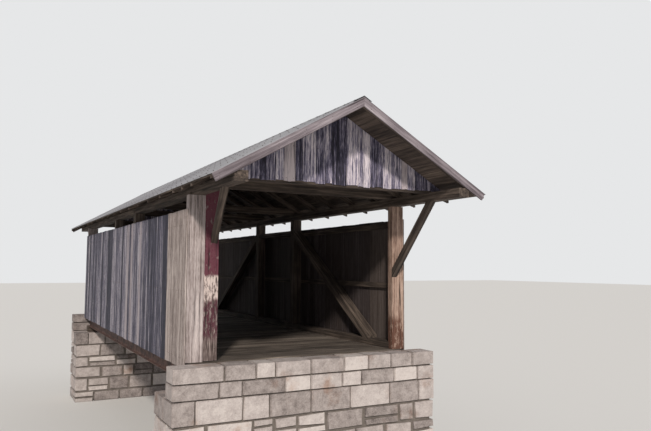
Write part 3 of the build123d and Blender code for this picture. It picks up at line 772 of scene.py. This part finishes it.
masonry = {"courses": 6, "courseSpread": 0.28, "stoneLength": 0.56, "lengthSpread": 0.45, "shortest": 0.5,
           "joint": 0.01, "wythe": 0.52, "wytheSpread": 0.15, "splitSpread": 0.15, "core": 0.052,
           "coreFoot": -0.03, "coreLap": 0.2, "coreTone": 0.3, "round": 0.014, "knockLimit": 0.3,
           "bulgeScale": 2.6, "chipScale": 9.0, "chipShare": 0.6, "waveShare": 0.6, "noiseReach": 90}
rubbleWork = {"rough": 0.022, "skew": 0.028, "split": 0.3}
seatWork = {"rough": 0.006, "skew": 0.008, "split": 0.0}
coreWork = {"rough": 0.0, "skew": 0.0}
gridSteps = (-1.0, -0.94, -0.6, -0.2, 0.2, 0.6, 0.94, 1.0)


def blockFaces(last):
    numbers = {}
    faces = []
    for axis, end, a, b in itertools.product(range(3), (0, last), range(last), range(last)):
        ring = []
        for da, db in ((0, 0), (1, 0), (1, 1), (0, 1)):
            key = [0, 0, 0]
            key[axis] = end
            key[(axis + 1) % 3] = a + da
            key[(axis + 2) % 3] = b + db
            ring.append(numbers.setdefault(tuple(key), len(numbers)))
        faces.append(ring if end else ring[::-1])
    return list(numbers), faces


blockKeys, blockRings = blockFaces(len(gridSteps) - 1)


def addBlock(store, low, high, warpPoint, work, tone, material, seed):
    middle = (low + high) / 2
    half = (high - low) / 2
    start = len(store["points"])
    chance = random.Random(round(seed[0] * 1000))
    # every corner of a rubble stone is knocked in by its own amount, so no two joints are parallel
    knocked = {}
    for corner in itertools.product((-1, 1), repeat=3):
        knocked[corner] = [chance.uniform(0, work["skew"]) for _ in range(3)]
    for key in blockKeys:
        unit = Vector([gridSteps[k] for k in key])
        atEnd = [abs(u) == 1.0 for u in unit]
        pull = masonry["round"] * max(0, sum(atEnd) - 1)
        point = Vector([middle[i] + unit[i] * half[i] for i in range(3)])
        for corner, offsets in knocked.items():
            share = math.prod((1 + corner[i] * unit[i]) / 2 for i in range(3))
            for i in (0, 2):
                point[i] -= corner[i] * share * min(offsets[i], half[i] * masonry["knockLimit"])
        for i in range(3):
            if atEnd[i]:
                bulge = noise.noise(point * masonry["bulgeScale"] + seed)
                chip = noise.noise(point * masonry["chipScale"] + seed)
                wave = 0.5 + masonry["waveShare"] * (bulge + masonry["chipShare"] * chip)
                point[i] -= math.copysign(pull + work["rough"] * min(1.0, max(0.0, wave)), unit[i])
        if low.z == 0 and unit.z == -1.0:  # the lowest course beds flat on the ground
            point.z = 0.0
        store["points"].append(warpPoint(point))
        store["tones"].append(tone)
    store["faces"] += [[start + n for n in ring] for ring in blockRings]
    store["materials"] += [material] * len(blockRings)


def buildAbutment(name, side):
    low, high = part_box(name)
    outer, inner = (abs(low.y), abs(high.y)) if side < 0 else (high.y, low.y)
    _, seat, crest = sorted({round(v.z, 4) for v in cornersOf(name)})
    seatEdges = [abs(v.y) for v in cornersOf(name) if abs(v.z - seat) < nearly]
    innerTop, wallFace = min(seatEdges), sorted({round(y, 3) for y in seatEdges})[1]
    chance = random.Random(17 + side)
    store = {"points": [], "tones": [], "faces": [], "materials": []}
    gap = masonry["joint"] / 2

    def batter(point):  # the river face leans back as it rises
        depth = (outer - point.y) / (outer - inner)
        lean = (innerTop - inner) * min(1.0, point.z / seat) * depth
        return Vector((point.x, side * (point.y + lean), point.z))

    def vary(middle, spread):
        return chance.uniform(middle - spread, middle + spread)

    def lay(yLow, yHigh, zLow, zHigh, work):
        x = low.x
        while x < high.x - nearly:
            length = masonry["stoneLength"] * vary(1, masonry["lengthSpread"])
            if high.x - x - length < masonry["stoneLength"] * masonry["shortest"]:
                length = high.x - x
            beds = [zLow, zHigh]
            if chance.random() < work["split"]:
                beds.insert(1, zLow + (zHigh - zLow) * vary(0.5, masonry["splitSpread"]))
            for zFrom, zTo in zip(beds, beds[1:]):
                start = Vector((x + (gap if x > low.x else 0), yLow, zFrom + (gap if zFrom > 0 else 0)))
                end = Vector((x + length - (gap if x + length < high.x else 0), yHigh,
                              zTo - (gap if zTo < crest else 0)))
                addBlock(store, start, end, batter, work, chance.random(), 0,
                         chance.uniform(0, masonry["noiseReach"]) * Vector((1, 1, 1)))
            x += length

    heights = [vary(1, masonry["courseSpread"]) for _ in range(masonry["courses"])]
    z = 0.0
    for number, share in enumerate(heights):
        top = z + share * seat / sum(heights)
        divide = outer - masonry["wythe"] * vary(1, masonry["wytheSpread"])
        work = seatWork if number == len(heights) - 1 else rubbleWork
        lay(inner, divide - gap, z, top, work)
        lay(divide + gap, outer, z, top, work)
        z = top
    middle = (seat + crest) / 2
    lay(wallFace, outer, seat, middle, seatWork)
    lay(wallFace, outer, middle, crest, seatWork)
    inset = Vector((masonry["core"],) * 3)
    for face, foot, top in ((inner, masonry["coreFoot"], seat), (wallFace, seat - masonry["coreLap"], crest)):
        addBlock(store, Vector((low.x, face, foot)) + inset, Vector((high.x, outer, top)) - inset, batter,
                 coreWork, masonry["coreTone"], 1, Vector())

    mesh = bpy.data.meshes.new(name + "_stones")
    faces = store["faces"] if side > 0 else [ring[::-1] for ring in store["faces"]]
    mesh.from_pydata(store["points"], [], faces)
    mesh.polygons.foreach_set("material_index", store["materials"])
    mesh.attributes.new("tone", "FLOAT", "POINT").data.foreach_set("value", store["tones"])
    mesh.materials.append(rubbleStone)
    mesh.materials.append(mortarCore)
    keepPiece(name + "_stones", [mesh], "rubble_stone", name)


buildAbutment("abutment_front", -1)
buildAbutment("abutment_rear", 1)
print("abutments laid")


# Materials of the frame's own pieces, by the start of their names; the first that fits is taken

coats = (
    (frameWood["frame_up"], "queen_post"), (stainedPost, "portal_post_front_right"),
    (postWood, "portal_post"),
    (frameWood["frame_along"], ("bottom_chord", "top_plate", "straining_beams", "siding_girts")),
    (frameWood["frame_across"], ("tie_beams", "sleepers")), (frameWood["rafters"], "rafters"),
    (frameWood["braces"], "main_brace"), (frameWood["front_knees"], "knee_braces_front"),
    (frameWood["knees"], "knee_braces"), (rustedSteel, "steel_beam"),
    (zincSheet, ("roof_metal", "ridge_cap")), (roofWood, "roof_boards"), (bargeWood, "barge_boards"),
    (greySiding, "siding"), (tanBoards, "end_boards"), (gableBoards, "gable_wall"), (deckWood, "deck"),
    (rubbleStone, "abutment"), (oldPaint, "painted_board"))
for name in nodes:
    slots = nodes[name].data.materials
    slots.clear()
    slots.append(next(material for material, starts in coats if name.startswith(starts)))
print("frame finished")


# Floor, light and camera

reach = 140.0
floorMesh = bpy.data.meshes.new("studio_floor")
floorMesh.from_pydata(
    [(-reach, -reach, 0), (reach, -reach, 0), (reach, reach, 0), (-reach, reach, 0)], [], [(0, 1, 2, 3)])
floor = addObject("studio_floor", floorMesh)
floorMaterial, add = newMaterial("studio_paper")
paper = add("ShaderNodeTexNoise", {"Scale": 0.4})
tones = fillRamp(add("ShaderNodeValToRGB", {0: paper}), ((0.3, "#e4e3e0"), (0.7, "#e8e7e4")))
shader = add("ShaderNodeBsdfDiffuse", {"Color": tones})
add("ShaderNodeOutputMaterial", {"Surface": shader})
floorMesh.materials.append(floorMaterial)

# the floor and the piece are lit softly, while the camera and reflections see a paler backdrop
world = bpy.data.worlds.new("studio")
scene.world = world
add = emptied(world)
rays = add("ShaderNodeLightPath", {}).outputs
seen = rays["Is Camera Ray"]
for ray in ("Is Glossy Ray", "Is Transmission Ray"):
    seen = add("ShaderNodeMath", {"operation": "MAXIMUM", 0: seen, 1: rays[ray]})
soft = add("ShaderNodeBackground", {"Color": linearColour("#f4f5f8"), "Strength": 0.44})
pale = add("ShaderNodeBackground", {"Color": linearColour("#e6e7e8"), "Strength": 1.0})
both = add("ShaderNodeMixShader", {0: seen, 1: soft, 2: pale})
add("ShaderNodeOutputWorld", {"Surface": both})


def sunLamp(name, toward, strength, angle, colour):
    lamp = bpy.data.lights.new(name, "SUN")
    lamp.energy = strength
    lamp.angle = math.radians(angle)
    lamp.color = linearColour(colour)[:3]
    addObject(name, lamp).rotation_euler = Vector(toward).to_track_quat("-Z", "Y").to_euler()


sunLamp("key", (0.41, 0.77, -0.49), 2.5, 5.0, "#fff7ee")
sunLamp("fill", (-0.7, 0.3, -0.5), 0.3, 60.0, "#f4f6ff")

# the camera stands and looks as the photograph's did; its angles are in degrees
eye = (-4.884, -15.297, 3.996)
yaw, pitch, roll = (math.radians(angle) for angle in (28.30, 4.63, 0.34))
cameraData = bpy.data.cameras.new("camera")
cameraData.sensor_width = 36.0
cameraData.sensor_fit = "HORIZONTAL"
cameraData.lens = 35.0
cameraData.clip_end = 500.0
camera = addObject("camera", cameraData)
forward = Vector((math.sin(yaw) * math.cos(pitch), math.cos(yaw) * math.cos(pitch), math.sin(pitch)))
level = Vector((math.cos(yaw), -math.sin(yaw), 0))
rightward = math.cos(roll) * level + math.sin(roll) * level.cross(forward)
camera.matrix_world = placeTransform(eye, rightward, rightward.cross(forward), -forward)
scene.camera = camera
scene.view_settings.view_transform = "Standard"
print("floor, light and camera set")
